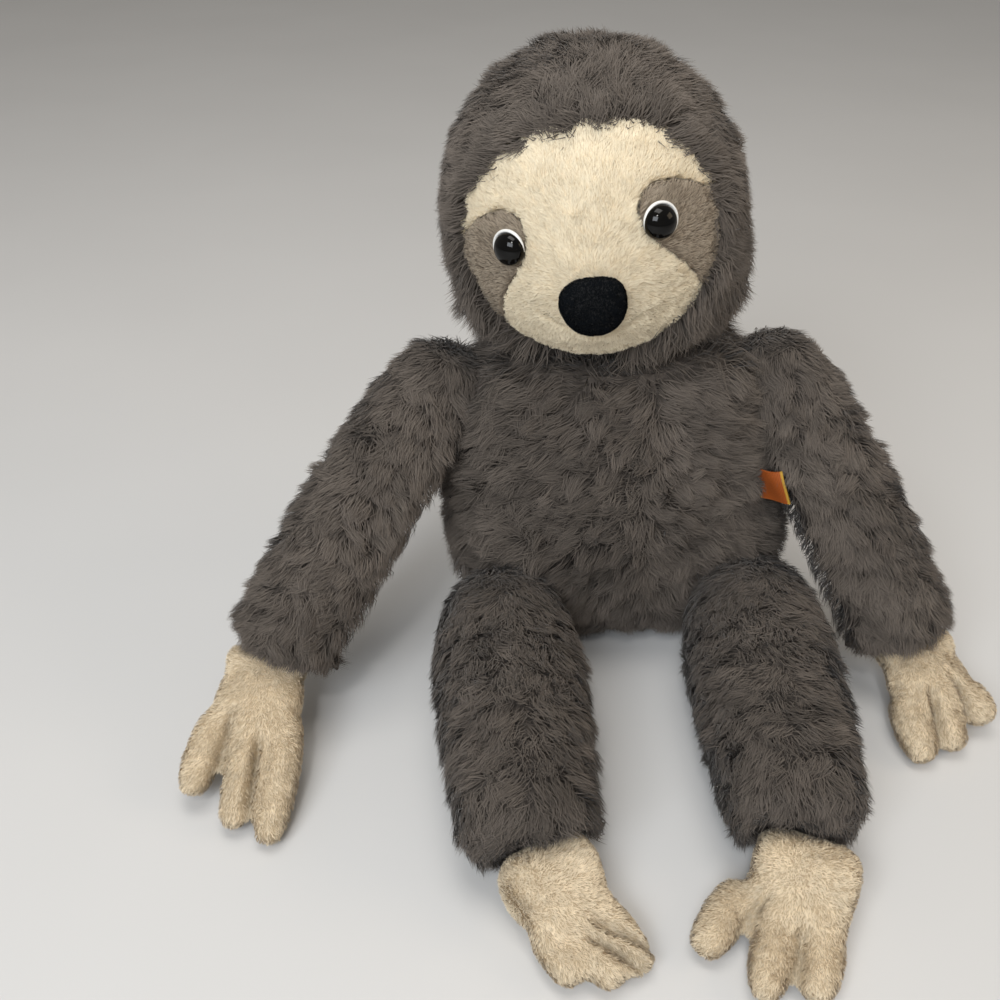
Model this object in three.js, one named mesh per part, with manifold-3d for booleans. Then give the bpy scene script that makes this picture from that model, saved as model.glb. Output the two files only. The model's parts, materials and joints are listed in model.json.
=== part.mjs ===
// A seated plush sloth, in millimetres, +Z up, facing -Y.
// The origin is on the table under the middle of the seat. The toy's own left is +X.
// Every fur or pile piece is drawn to the outside of its pile, so a cover's wall is
// the pile and its backing together, and the stuffing fills what is left inside.
import * as THREE from "three";
import { mergeVertices } from "three/addons/utils/BufferGeometryUtils.js";
import Module from "manifold-3d";

const wasm = await Module();
wasm.setup();

const { cos, sin, tan, asin, sqrt, PI } = Math;
const rad = THREE.MathUtils.degToRad;

// Cloth, seams and play between pieces
const fur_wall = 9;
const pile_wall = 3.5;
const seam_gap = 0.3;
const turning_gap = 0.4;
const flat_cut = 0.5;
const cut_overrun = 4;

// Torso
const torso_height = 158;
const torso_half_width = 83;
const torso_half_depth = 55;
const torso_lean_deg = 6;
const chest_forward = 12;
const side_seam_forward = 4;
const bean_fill_height = 34;
const torso_row_shares = [
  // height, half width, front, back
  [-0.004, 0, 0, 0],
  [-0.002, 0.36, 0.34, 0.36],
  [0.02, 0.72, 0.7, 0.74],
  [0.13, 0.93, 0.93, 0.96],
  [0.29, 1, 1.03, 1.05],
  [0.46, 0.985, 1.05, 1.03],
  [0.62, 0.91, 0.99, 0.96],
  [0.77, 0.83, 0.88, 0.86],
  [0.9, 0.79, 0.76, 0.74],
  [1.02, 0.72, 0.66, 0.68],
  [1.14, 0.58, 0.52, 0.56],
  [1.2, 0, 0, 0],
];

// Head
const head_half_width = 62;
const head_half_depth = 60;
const head_half_height = 66;
const head_above_neck = 50;
const head_forward = 8;
const head_turn_deg = -10;
const head_tilt_deg = -13;
const head_lean_deg = 8.5;
const nape_blunt_share = 0.3;
const nape_from_share = -0.5;
const nape_to_share = 0.1;
const collar_shares = [
  // above the neck and out from its middle, as shares of the head's half height and width
  [0, 0.9],
  [0.08, 0.94],
  [0.16, 0.97],
  [0.37, 1],
  [0.9, 1.3],
];
const muzzle_bulge = 7;
const muzzle_drop = 19;
const muzzle_spread = 24;
const face_outline_shares = [
  // sideways and up, as shares of the head's half width and half height
  [0, 0.618],
  [0.07, 0.654],
  [0.21, 0.639],
  [0.42, 0.572],
  [0.62, 0.428],
  [0.76, 0.196],
  [0.79, -0.062],
  [0.74, -0.258],
  [0.64, -0.433],
  [0.46, -0.577],
  [0.22, -0.685],
  [0, -0.721],
];
const patch_outline_shares = [
  [0.42, 0.294],
  [0.345, 0.247],
  [0.325, 0.165],
  [0.36, 0.052],
  [0.44, -0.052],
  [0.53, -0.165],
  [0.6, -0.33],
  [0.65, -0.453],
  [0.92, -0.474],
  [0.96, -0.124],
  [0.87, 0.021],
  [0.74, 0.124],
  [0.64, 0.211],
  [0.53, 0.273],
];

// Eyes and nose
const eye_aside_deg = 29.5;
const eye_up_deg = 8;
const eye_radius = 5.4;
const eye_height = 4.2;
const ring_radius = 6.7;
const ring_thick = 1.5;
const stem_radius = 1.5;
const stem_play = 0.2;
const stem_length = 8.5;
const washer_radius = 5.5;
const washer_thick = 1.2;
const nose_half_width = 12.6;
const nose_half_height = 11.6;
const nose_half_depth = 7;
const nose_drop = 15;
const nose_sunk = 2;

// Arms
const shoulder_out = 73.5;
const shoulder_up = 136;
const shoulder_forward = 14;
const shoulder_tilt_right_deg = 35.5;
const shoulder_tilt_left_deg = 27.7;
const shoulder_inset = 17;
const arm_swing_deg = 25.4;
const arm_length = 142;
const arm_root_radius = 23.5;
const arm_cuff_radius = 25.5;
const arm_belly = 3;
const arm_tip_round = 13;
const arm_bow = 4;

// Hands
const wrist_radius = 9;
const wrist_half_width = 18;
const wrist_out = 2;
const wrist_side_play = 2;
const wrist_up_deg = 15;
const wrist_down_deg = 45;
const palm_length = 38;
const palm_half_width = 24;
const palm_half_thick = 9.5;
const finger_radius = 9.2;
const finger_pitch = 15.5;
const finger_squash_share = 0.9;
const finger_splays_deg = [8, 0, 0];
const hands = {
  right: { turn_deg: -9, reaches: [60, 72, 77] },
  left: { turn_deg: 6, reaches: [40, 50, 53] },
};

// Legs
const hip_out_right = 59;
const hip_out_left = 51.5;
const hip_forward = 75;
const leg_root_radius = 36.5;
const leg_cuff_radius = 31;
const leg_length = 105;
const leg_belly = 1;
const leg_tip_round = 15;
const leg_turn_right_deg = 1;
const leg_turn_left_deg = -5;

// Feet
const ankle_radius = 15;
const ankle_out = 2;
const ankle_side_play = 1;
const ankle_up_deg = 35;
const ankle_down_deg = 20;
const sole_length = 27;
const toe_radius = 9.2;
const toe_squash_share = 0.9;
const toe_root_share = 0.25;
const feet = {
  right: {
    turn_deg: 27, sole_aside: 8.5, sole_half_width: 19, toe_asides: [19.5, 8.5, -2.5],
    reaches: [45, 44, 36], splays_deg: [0, 0, 0],
  },
  left: {
    turn_deg: -25, sole_aside: 3, sole_half_width: 20, toe_asides: [-18, -3, 14],
    reaches: [42, 50, 44], splays_deg: [-15, 0, 0],
  },
};

// Label, its inner edge sewn to the left flank
const label_width = 15;
const label_height = 17;
const label_thick = 1;
const label_up = 94;
const label_out = 4.2;
const label_around_deg = 41;
const label_face_deg = -29;
const label_tilt_deg = 20;

// How finely each kind of form is cut into faces
const torso_sides = 24;
const torso_rings = 16;
const head_sides = 26;
const head_rings = 16;
const fill_sides = 16;
const fill_rings = 9;
const limb_sides = 16;
const limb_fill_sides = 10;
const digit_sides = 10;
const digit_rings = 8;
const round_sides = 16;
const nose_rings = 10;
const face_outline_steps = 44;
const patch_outline_steps = 22;

// How blunt the ends of the forms are: powers of a circle's sine, 1 for a plain round end
const limb_blunt_share = 0.6;
const digit_blunt_share = 0.55;
const pouch_blunt_share = 0.5;
const nose_blunt_share = 0.8;
const nose_flare_share = 0.12;
const pouch_root_share = 0.7;
const barrel_edge_share = 0.6;
const opening_share = 0.33;
const slot_front_share = 1.2;
const ring_lip_share = 0.33;
const dome_rise_shares = [0, 0.3, 0.55, 0.8, 0.95, 1];

const looks = {
  fur: [0x5a524d, 0.95],
  pile: [0xe2cfae, 0.9],
  patch: [0x9a8876, 0.9],
  nose: [0x17171a, 0.85],
  eye: [0x0a0a0c, 0.08],
  ring: [0xf2efe8, 0.35],
  washer: [0xe8e8e4, 0.5],
  fill: [0xf4f3ef, 1],
  beans: [0xd8d3c4, 0.9],
  label: [0xb5491c, 0.8],
};

// Solids and their moves

function solidOf(geometry) {
  const bare = geometry.clone();
  bare.deleteAttribute("normal");
  bare.deleteAttribute("uv");
  const merged = mergeVertices(bare);
  return new wasm.Manifold(new wasm.Mesh({
    numProp: 3,
    vertProperties: new Float32Array(merged.attributes.position.array),
    triVerts: new Uint32Array(merged.index.array),
  }));
}

function geometryOf(solid) {
  const mesh = solid.getMesh();
  const geometry = new THREE.BufferGeometry();
  geometry.setAttribute("position", new THREE.BufferAttribute(mesh.vertProperties, 3));
  geometry.setIndex(new THREE.BufferAttribute(mesh.triVerts, 1));
  geometry.computeVertexNormals();
  return geometry;
}

const movedBy = (solid, matrix) => solid.transform(matrix.elements);

function frameAt(x, y, z, turn = new THREE.Euler()) {
  const spin = new THREE.Quaternion().setFromEuler(turn);
  return new THREE.Matrix4().compose(new THREE.Vector3(x, y, z), spin, new THREE.Vector3(1, 1, 1));
}

const chained = (...frames) => frames.reduce((all, next) => all.clone().multiply(next));
const inverse = (frame) => frame.clone().invert();

// A plump closed form: the rings of a ball are carried to the places that put() gives.
// Ring 0 is the lower pole and the last ring the upper one.
function plump(sides, rings, put) {
  const ball = new THREE.SphereGeometry(1, sides, rings).rotateX(PI / 2);
  const at = ball.attributes.position;
  const place = new THREE.Vector3();
  for (let i = 0; i < at.count; i += 1) {
    place.fromBufferAttribute(at, i);
    const up = Math.min(1, Math.max(-1, place.z));
    const ring = Math.round(((PI - Math.acos(up)) / PI) * rings);
    const around = Math.atan2(place.y, place.x);
    place.copy(put(ring / rings, around, ring));
    at.setXYZ(i, place.x, place.y, place.z);
  }
  return solidOf(ball);
}

// A half space as a big block whose top face lies on the plane z = 0 of the frame.
function below(frame, reach) {
  const block = new THREE.BoxGeometry(2 * reach, 2 * reach, reach).translate(0, 0, -reach / 2);
  return movedBy(solidOf(block), frame);
}

function rod(radius, from, to, sides = round_sides) {
  const length = to - from;
  const shaft = new THREE.CylinderGeometry(radius, radius, length, sides).rotateX(PI / 2);
  return solidOf(shaft.translate(0, 0, (from + to) / 2));
}

function ball(radius, sides) {
  const true_radius = radius / cos(PI / sides);
  return solidOf(new THREE.SphereGeometry(true_radius, sides, sides / 2));
}

// A turned piece: the profile runs from the axis back to the axis, or closes on itself.
function turned(points, sides = round_sides) {
  const outline = points.map(([r, z]) => new THREE.Vector2(r, z));
  return solidOf(new THREE.LatheGeometry(outline, sides).rotateX(PI / 2));
}

// A barrel along X with rounded ends, the root that a hand or a foot turns on.
function barrel(radius, halfWidth) {
  const edge = radius * barrel_edge_share;
  const corner = [0, 0.25, 0.5, 0.75, 1].map((share) => [
    radius - edge * (1 - cos((share * PI) / 2)), halfWidth - edge * (1 - sin((share * PI) / 2))]);
  const upper = [...corner, [0, halfWidth]];
  const lower = upper.map(([r, z]) => [r, -z]).reverse();
  const across = frameAt(0, 0, 0, new THREE.Euler(0, PI / 2, 0));
  return movedBy(turned([...lower, ...upper]), across);
}

// A prism towards -Y from an outline in the XZ plane, grown by a margin at its rim.
function frontPrism(points, grow) {
  const sum = points.reduce((all, p) => all.add(p), new THREE.Vector2());
  const middle = sum.divideScalar(points.length);
  const grown = points.map((p) => {
    const away = p.clone().sub(middle);
    return p.clone().add(away.setLength(grow));
  });
  const shape = new THREE.Shape(grown);
  const body = new THREE.ExtrudeGeometry(shape, { depth: far_away, bevelEnabled: false });
  return solidOf(body.rotateX(PI / 2));
}

// Space that a rounded root sweeps out as its piece turns about X from down to up.
function sweptSlot(radius, halfWidth, upDeg, downDeg, reach) {
  const up = rad(upDeg);
  const down = -rad(downDeg);
  const at = (r, angle) => [r * cos(angle), r * sin(angle)];
  const [lowX, lowY] = at(radius, down - PI / 2);
  const [highX, highY] = at(radius, up + PI / 2);
  const [farLowX, farLowY] = at(reach, down);
  const [farHighX, farHighY] = at(reach, up);
  const shape = new THREE.Shape();
  shape.moveTo(lowX, lowY);
  shape.lineTo(lowX + farLowX, lowY + farLowY);
  shape.lineTo(slot_front_share * reach, 0);
  shape.lineTo(highX + farHighX, highY + farHighY);
  shape.lineTo(highX, highY);
  shape.absarc(0, 0, radius, up + PI / 2, down + 1.5 * PI, false);
  const options = { depth: 2 * halfWidth, bevelEnabled: false, curveSegments: round_sides };
  const body = new THREE.ExtrudeGeometry(shape, options).translate(0, 0, -halfWidth);
  const forward = new THREE.Vector3(0, -1, 0);
  const upward = new THREE.Vector3(0, 0, 1);
  const aside = new THREE.Vector3(-1, 0, 0);
  return solidOf(body.applyMatrix4(new THREE.Matrix4().makeBasis(forward, upward, aside)));
}

// The finished part and its groups

const sloth = new THREE.Group();

function groupAt(frame, parent) {
  const group = new THREE.Group();
  frame.decompose(group.position, group.quaternion, group.scale);
  parent.add(group);
  return group;
}

function addPiece(name, solid, look, group) {
  const [color, roughness] = looks[look];
  const finish = new THREE.MeshStandardMaterial({ color, roughness, metalness: 0 });
  const mesh = new THREE.Mesh(geometryOf(solid), finish);
  mesh.name = name;
  group.add(mesh);
}

const far_away = 4 * torso_height;
const lean_slope = tan(rad(torso_lean_deg));
const leaningAt = (x, y, z, tilt = 0) =>
  frameAt(x - z * lean_slope, y, z, new THREE.Euler(0, tilt, 0));
const table = below(frameAt(0, 0, 0), far_away);

// Where each limb is joined, in the toy's frame

function shoulderFrame(side) {
  const tilt = rad(side > 0 ? -shoulder_tilt_left_deg : shoulder_tilt_right_deg);
  const swing = frameAt(0, 0, 0, new THREE.Euler(-rad(arm_swing_deg), 0, 0));
  return chained(leaningAt(side * shoulder_out, -shoulder_forward, shoulder_up, tilt), swing);
}

function hipFrame(side) {
  const turn = rad(side > 0 ? leg_turn_left_deg : leg_turn_right_deg);
  const high = leg_root_radius - flat_cut;
  const low = leg_cuff_radius - flat_cut;
  const dip = asin((high - low) / leg_length);
  const out = side > 0 ? hip_out_left : -hip_out_right;
  const { x } = new THREE.Vector3().setFromMatrixPosition(leaningAt(out, 0, high));
  return frameAt(x, -hip_forward, high, new THREE.Euler(dip - PI / 2, 0, turn, "ZYX"));
}

// Torso: a pear that sits flat and leans over a little as it rises

const torso_heights = new THREE.SplineCurve(
  torso_row_shares.map(([height, width]) => new THREE.Vector2(height, width)));
const torso_depths = new THREE.SplineCurve(
  torso_row_shares.map(([, , front, back]) => new THREE.Vector2(front, back)));

function torsoForm(inset, sides = torso_sides, rings = torso_rings) {
  return plump(sides, rings, (along, around) => {
    const { x: height, y: width } = torso_heights.getPoint(along);
    const { x: front, y: back } = torso_depths.getPoint(along);
    const depth = sin(around) < 0 ? front : back;
    const inward = (size, share) => Math.max(size * share - inset, 0);
    const inner_height = height * torso_height + inset * (1 - 2 * along);
    return new THREE.Vector3(
      cos(around) * inward(torso_half_width, width) - inner_height * lean_slope,
      sin(around) * inward(torso_half_depth, depth) - height * chest_forward,
      inner_height,
    );
  });
}

function hipSockets(gap) {
  const cuts = [-1, 1].map((side) => {
    const centre = new THREE.Vector3().setFromMatrixPosition(hipFrame(side));
    const round = ball(leg_root_radius + gap, 2 * limb_sides);
    const radius = (leg_root_radius + gap) / cos(PI / limb_sides / 2);
    const swing = rod(radius, -2 * leg_root_radius, 0, 2 * limb_sides);
    return round.add(swing).translate([centre.x, centre.y, centre.z]);
  });
  return cuts[0].add(cuts[1]);
}

// The plane of a shoulder's seam in the arm's frame, facing away from the arm.
const shoulderSeam = (side, inset) =>
  frameAt(-side * inset, 0, 0, new THREE.Euler(0, -side * (PI / 2), 0));

// Everything outside the slanted seam planes that the arms lie against.
function armSides(gap) {
  const cuts = [-1, 1].map((side) => {
    const seam = shoulderSeam(side, shoulder_inset + gap);
    return below(chained(shoulderFrame(side), seam), far_away);
  });
  return cuts[0].add(cuts[1]);
}

// The label stands out of the flank, its inner edge in the fur.
function labelSolid(gap) {
  const level = label_up / torso_height;
  const rows = torso_row_shares.slice(1, -1);
  const next = rows.findIndex(([height]) => height > level);
  const [low, high] = [rows[next - 1], rows[next]];
  const part = (level - low[0]) / (high[0] - low[0]);
  const [wide, deep] = [1, 2].map((i) => low[i] + (high[i] - low[i]) * part);
  const around = rad(label_around_deg);
  const x = (torso_half_width * wide + label_out) * cos(around);
  const y = -(torso_half_depth * deep + label_out) * sin(around) - level * chest_forward;
  const turn = new THREE.Euler(0, -rad(label_tilt_deg), rad(label_face_deg), "ZYX");
  const frame = chained(leaningAt(x, y, label_up), frameAt(0, 0, 0, turn));
  const size = [label_width + 2 * gap, label_thick + 2 * gap, label_height + 2 * gap];
  return movedBy(solidOf(new THREE.BoxGeometry(...size)), frame);
}

function buildTorso(neck) {
  const over_neck = below(chained(neck, frameAt(0, 0, 0, new THREE.Euler(PI, 0, 0))), far_away);
  const outside = table.add(over_neck).add(hipSockets(turning_gap)).add(armSides(seam_gap));
  const room = torsoForm(fur_wall, fill_sides, fill_rings * 2).subtract(
    below(frameAt(0, 0, fur_wall), far_away));
  const cover = torsoForm(0).subtract(outside).subtract(room).subtract(labelSolid(seam_gap));

  const half_gap = seam_gap / 2;
  const seamAt = (y, turn) => below(frameAt(0, y, 0, new THREE.Euler(turn, 0, 0)), far_away);
  const side_seam = seamAt(-side_seam_forward - half_gap, -PI / 2);
  const back_seam = seamAt(-side_seam_forward + half_gap, PI / 2);
  const upright = PI / 2 - rad(torso_lean_deg);
  const left_seam = below(leaningAt(half_gap, 0, 0, -PI + upright), far_away);
  const right_seam = below(leaningAt(-half_gap, 0, 0, upright), far_away);
  const front = cover.intersect(side_seam);
  addPiece("torso_front_left", front.intersect(left_seam), "fur", sloth);
  addPiece("torso_front_right", front.intersect(right_seam), "fur", sloth);
  addPiece("torso_back", cover.intersect(back_seam), "fur", sloth);

  const fill = torsoForm(fur_wall + seam_gap, fill_sides, fill_rings * 2)
    .subtract(outside).subtract(hipSockets(turning_gap + seam_gap))
    .subtract(below(frameAt(0, 0, fur_wall + seam_gap), far_away))
    .subtract(labelSolid(2 * seam_gap));
  const bean_level = below(frameAt(0, 0, bean_fill_height), far_away);
  const over_beans = below(frameAt(0, 0, bean_fill_height + seam_gap), far_away);
  addPiece("torso_stuffing", fill.subtract(over_beans), "fill", sloth);
  addPiece("seat_bean_pouch", fill.intersect(bean_level), "beans", sloth);
  addPiece("side_label", labelSolid(0), "label", sloth);
}

// Head: a fur hood of two panels round a lower face of shorter pile

// The nape is blunter than the face's side, so that the hood runs down to the shoulders.
function headForm(inset, muzzle, sides = head_sides, rings = head_rings) {
  return plump(sides, rings, (along, around) => {
    const polar = PI * along;
    const behind = (sin(around) - nape_from_share) / (nape_to_share - nape_from_share);
    const nape = polar < PI / 2 ? Math.min(1, Math.max(0, behind)) : 0;
    const round = sin(polar) ** (1 + (nape_blunt_share - 1) * nape);
    const x = round * cos(around) * (head_half_width - inset);
    const y = round * sin(around) * (head_half_depth - inset);
    const z = -cos(polar) * (head_half_height - inset);
    const away = (x * x + (z + muzzle_drop) ** 2) / muzzle_spread ** 2;
    const front = Math.max(0, -sin(polar) * sin(around));
    return new THREE.Vector3(x, y - front * muzzle * Math.exp(-away), z);
  });
}

// What the head may fill above its neck seam, so that it turns clear of the shoulders.
function neckCollar(inset) {
  const rows = collar_shares.map(([up, out]) =>
    [out * head_half_width - inset, up * head_half_height]);
  const [narrowest, widest] = [rows[0][0], rows.at(-1)[0]];
  return turned([[0, -cut_overrun], [narrowest, -cut_overrun], ...rows,
    [widest, far_away], [0, far_away]], head_sides);
}

function outlinePoints(shares, closed) {
  const points = shares.map(([aside, up]) =>
    new THREE.Vector2(aside * head_half_width, up * head_half_height));
  return closed ? points : points.concat(
    points.slice(1, -1).reverse().map((p) => new THREE.Vector2(-p.x, p.y)));
}

function smoothOutline(points, count) {
  const loop = points.map((p) => new THREE.Vector3(p.x, p.y, 0));
  const curve = new THREE.CatmullRomCurve3(loop, true);
  return curve.getPoints(count).slice(0, -1).map((p) => new THREE.Vector2(p.x, p.y));
}

const facePrism = (grow) => frontPrism(
  smoothOutline(outlinePoints(face_outline_shares, false), face_outline_steps), grow);

function patchPrism(side, grow) {
  const points = smoothOutline(outlinePoints(patch_outline_shares, true), patch_outline_steps);
  const placed = points.map((p) => new THREE.Vector2(side * p.x, p.y));
  return frontPrism(side > 0 ? placed : placed.reverse(), grow);
}

const face_inset = fur_wall - pile_wall;

// The eye's own frame: its Z points out of the face.
function eyeFrame(side) {
  const aside = rad(eye_aside_deg);
  const up = rad(eye_up_deg);
  const out = new THREE.Vector3(side * sin(aside) * cos(up), -cos(aside) * cos(up), sin(up));
  const size = [head_half_width, head_half_depth, head_half_height].map((s) => s - face_inset);
  const reach = 1 / sqrt((out.x / size[0]) ** 2 + (out.y / size[1]) ** 2 + (out.z / size[2]) ** 2);
  const at = out.clone().multiplyScalar(reach);
  const slope = new THREE.Vector3(at.x / size[0] ** 2, at.y / size[1] ** 2, at.z / size[2] ** 2);
  const spin = new THREE.Quaternion().setFromUnitVectors(new THREE.Vector3(0, 0, 1), slope.normalize());
  return new THREE.Matrix4().compose(at, spin, new THREE.Vector3(1, 1, 1));
}

function eyeDome() {
  const seat = seam_gap + ring_thick + seam_gap;
  const crown = dome_rise_shares.map((share) =>
    [eye_radius * sqrt(1 - share ** 2), seat + eye_height * share]);
  return turned([[0, -stem_length], [stem_radius, -stem_length], [stem_radius, seat], ...crown]);
}

function eyeRing() {
  const hole = stem_radius + stem_play;
  const lip = ring_thick * ring_lip_share;
  const top = seam_gap + ring_thick;
  return turned([[hole, seam_gap], [ring_radius, seam_gap], [ring_radius, top - lip],
    [ring_radius - lip, top], [hole, top], [hole, seam_gap]]);
}

function eyeWasher() {
  const hole = stem_radius + stem_play;
  const top = -pile_wall - 2 * seam_gap;
  const low = top - washer_thick;
  return turned([[hole, low], [washer_radius, low], [washer_radius, top], [hole, top], [hole, low]]);
}

function noseForm() {
  const front = head_half_depth - face_inset + muzzle_bulge - nose_sunk;
  return plump(round_sides, nose_rings, (along, around) => {
    const polar = PI * along;
    const width = nose_half_width * (1 - nose_flare_share * cos(polar));
    return new THREE.Vector3(
      sin(polar) ** nose_blunt_share * cos(around) * width,
      sin(polar) * sin(around) * nose_half_depth - front,
      -cos(polar) * nose_half_height - nose_drop,
    );
  });
}

function buildHead(neck) {
  const neck_plane = below(frameAt(0, 0, seam_gap), far_away);
  const aside = head_above_neck * tan(rad(head_lean_deg));
  const centre = frameAt(-aside, 0, head_above_neck,
    new THREE.Euler(0, rad(head_tilt_deg), rad(head_turn_deg), "ZYX"));
  const frame = chained(neck, centre);
  const group = groupAt(frame, sloth);
  const under_neck = movedBy(neck_plane, inverse(centre));

  const collar = (inset) => movedBy(neckCollar(inset), inverse(centre));
  const room = headForm(fur_wall, 0, fill_sides, fill_rings).intersect(collar(fur_wall));
  const eyes = [-1, 1].map(eyeFrame);
  const stemHole = rod(stem_radius + stem_play, -2 * stem_length, stem_length);
  const ringSeat = rod(ring_radius + seam_gap, 0, stem_length);
  const washerSeat = rod(washer_radius + seam_gap, -2 * stem_length, -pile_wall - seam_gap);
  const seats = eyes.map((at) => movedBy(stemHole.add(ringSeat).add(washerSeat), at));
  const shell = (solid) => solid.subtract(room).subtract(under_neck);
  const hood = shell(headForm(0, 0).intersect(collar(0))).subtract(facePrism(seam_gap));
  const half_gap = seam_gap / 2;
  const left = below(frameAt(half_gap, 0, 0, new THREE.Euler(0, -PI / 2, 0)), far_away);
  const right = below(frameAt(-half_gap, 0, 0, new THREE.Euler(0, PI / 2, 0)), far_away);
  addPiece("hood_left", hood.intersect(left), "fur", group);
  addPiece("hood_right", hood.intersect(right), "fur", group);

  const face = shell(headForm(face_inset, muzzle_bulge)).intersect(facePrism(0))
    .subtract(seats[0]).subtract(seats[1]);
  const patches = [-1, 1].map((side) => face.intersect(patchPrism(side, 0)));
  const cuts = [-1, 1].map((side) => patchPrism(side, seam_gap));
  addPiece("face_panel", face.subtract(cuts[0]).subtract(cuts[1]), "pile", group);
  addPiece("eye_patch_right", patches[0], "patch", group);
  addPiece("eye_patch_left", patches[1], "patch", group);

  const nose = noseForm().subtract(headForm(face_inset - seam_gap, muzzle_bulge));
  addPiece("nose_pad", nose, "nose", group);

  ["right", "left"].forEach((name, i) => {
    addPiece(`eye_dome_${name}`, movedBy(eyeDome(), eyes[i]), "eye", group);
    addPiece(`eye_ring_${name}`, movedBy(eyeRing(), eyes[i]), "ring", group);
    addPiece(`eye_washer_${name}`, movedBy(eyeWasher(), eyes[i]), "washer", group);
  });

  const pockets = eyes.map((at) =>
    movedBy(rod(washer_radius + seam_gap, -stem_length - seam_gap, stem_length), at));
  const fill = headForm(fur_wall + seam_gap, 0, fill_sides, fill_rings)
    .intersect(collar(fur_wall + seam_gap)).subtract(under_neck)
    .subtract(pockets[0]).subtract(pockets[1]);
  addPiece("head_stuffing", fill, "fill", group);
}

// Limbs: a round root, a slowly swelling shaft along -Z and a blunt end

const root_rings = 5;
const shaft_rings = 4;
const tip_rings = 4;
const limb_rings = root_rings + shaft_rings + tip_rings;

// Distance below the root's centre and radius of one ring, counted from the end. The
// shaft widens from root to cuff and has a belly halfway down.
function limbRing(ring, sizes, inset) {
  const { root, cuff, belly, length, tip } = sizes;
  const swell = (down) => {
    const part = down / (length - tip);
    return root + (cuff - root) * part + belly * sin(PI * part) - inset;
  };
  if (ring <= tip_rings) {
    const turn = (PI / 2) * (1 - ring / tip_rings);
    const round = tip - inset;
    return [length - tip + round * sin(turn), (cuff - inset) * cos(turn) ** limb_blunt_share];
  }
  if (ring <= tip_rings + shaft_rings) {
    const down = (length - tip) * (1 - (ring - tip_rings) / shaft_rings);
    return [down, swell(down)];
  }
  const turn = (PI / 2) * (1 - (ring - tip_rings - shaft_rings) / root_rings);
  return [-(root - inset) * cos(turn), (root - inset) * sin(turn)];
}

function limbForm(sizes, inset, sides, bow) {
  return plump(sides, limb_rings, (along, around, ring) => {
    const [down, radius] = limbRing(ring, sizes, inset);
    const aside = (bow * Math.max(down, 0)) / sizes.length;
    return new THREE.Vector3(cos(around) * radius + aside, sin(around) * radius, -down);
  });
}

function buildArm(side, name) {
  const frame = shoulderFrame(side);
  const group = groupAt(frame, sloth);
  const sizes = {
    root: arm_root_radius, cuff: arm_cuff_radius, belly: arm_belly, length: arm_length,
    tip: arm_tip_round,
  };
  const facing = frameAt(0, 0, 0, new THREE.Euler(0, PI, 0));
  const flat = below(chained(shoulderSeam(side, shoulder_inset), facing), far_away);
  const hand = handFrame(side, name, frame);
  const slot = movedBy(
    sweptSlot(wrist_radius + turning_gap, wrist_half_width + wrist_side_play, wrist_up_deg,
      wrist_down_deg, palm_length),
    chained(inverse(frame), hand));
  const bow = side * arm_bow;
  const outer = limbForm(sizes, 0, limb_sides, bow).subtract(flat).subtract(slot);
  const opening = movedBy(rod(arm_root_radius * opening_share, -arm_root_radius, 0),
    frameAt(0, 0, 0, new THREE.Euler(0, side * PI / 2, 0)));
  const inner = { ...sizes, length: arm_length - wrist_radius };
  const room = limbForm(inner, fur_wall, limb_fill_sides, bow);
  addPiece(`arm_sleeve_${name}`, outer.subtract(room).subtract(opening), "fur", group);
  const fill = limbForm(inner, fur_wall + seam_gap, limb_fill_sides, bow);
  addPiece(`arm_stuffing_${name}`, fill, "fill", group);
  buildHand(side, name, hand);
}

// Hands and feet: a padded pouch along -Y with three digits, its root turning about X

// One digit from inside the pouch to its tip, rounded at both ends.
function digit(radius, squash, from, reach) {
  return plump(digit_sides, digit_rings, (along, around) => {
    const polar = PI * along;
    const middle = (from + reach) / 2;
    const half = (reach - from) / 2;
    const girth = radius * sin(polar) ** digit_blunt_share;
    return new THREE.Vector3(cos(around) * girth, -middle + half * cos(polar), sin(around) * girth * squash);
  });
}

// The root is ring 0, and the front end, which is the last ring, lies along -Y.
function pouch(length, rootHalf, frontHalf, rootThick, frontThick, inset, sides, rings) {
  return plump(sides, rings, (along, around) => {
    const polar = PI * along;
    const share = (1 - cos(polar)) / 2;
    const wide = rootHalf + (frontHalf - rootHalf) * share - inset;
    const thick = rootThick + (frontThick - rootThick) * share - inset;
    const round = sin(polar) ** pouch_blunt_share;
    const drop = (rootThick - frontThick) * share;
    const back = rootThick * pouch_root_share;
    return new THREE.Vector3(
      cos(around) * wide * round,
      back - inset - (length + back - 2 * inset) * share,
      sin(around) * thick * round - drop,
    );
  });
}

function handFrame(side, name, arm) {
  const end = new THREE.Vector3(side * arm_bow, 0, -arm_length - wrist_out).applyMatrix4(arm);
  const turn = rad(hands[name].turn_deg);
  const longest = Math.max(...hands[name].reaches) - finger_radius;
  const dip = asin((end.z - finger_radius * finger_squash_share + flat_cut) / longest);
  return frameAt(end.x, end.y, end.z, new THREE.Euler(dip, 0, turn, "ZYX"));
}

function digits(asides, reaches, splays, radius, squash, from) {
  return reaches.map((reach, i) => {
    const splay = new THREE.Euler(0, 0, rad(splays[i]));
    return movedBy(digit(radius, squash, 0, reach - from), frameAt(asides[i], -from, 0, splay));
  }).reduce((all, next) => all.add(next));
}

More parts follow.
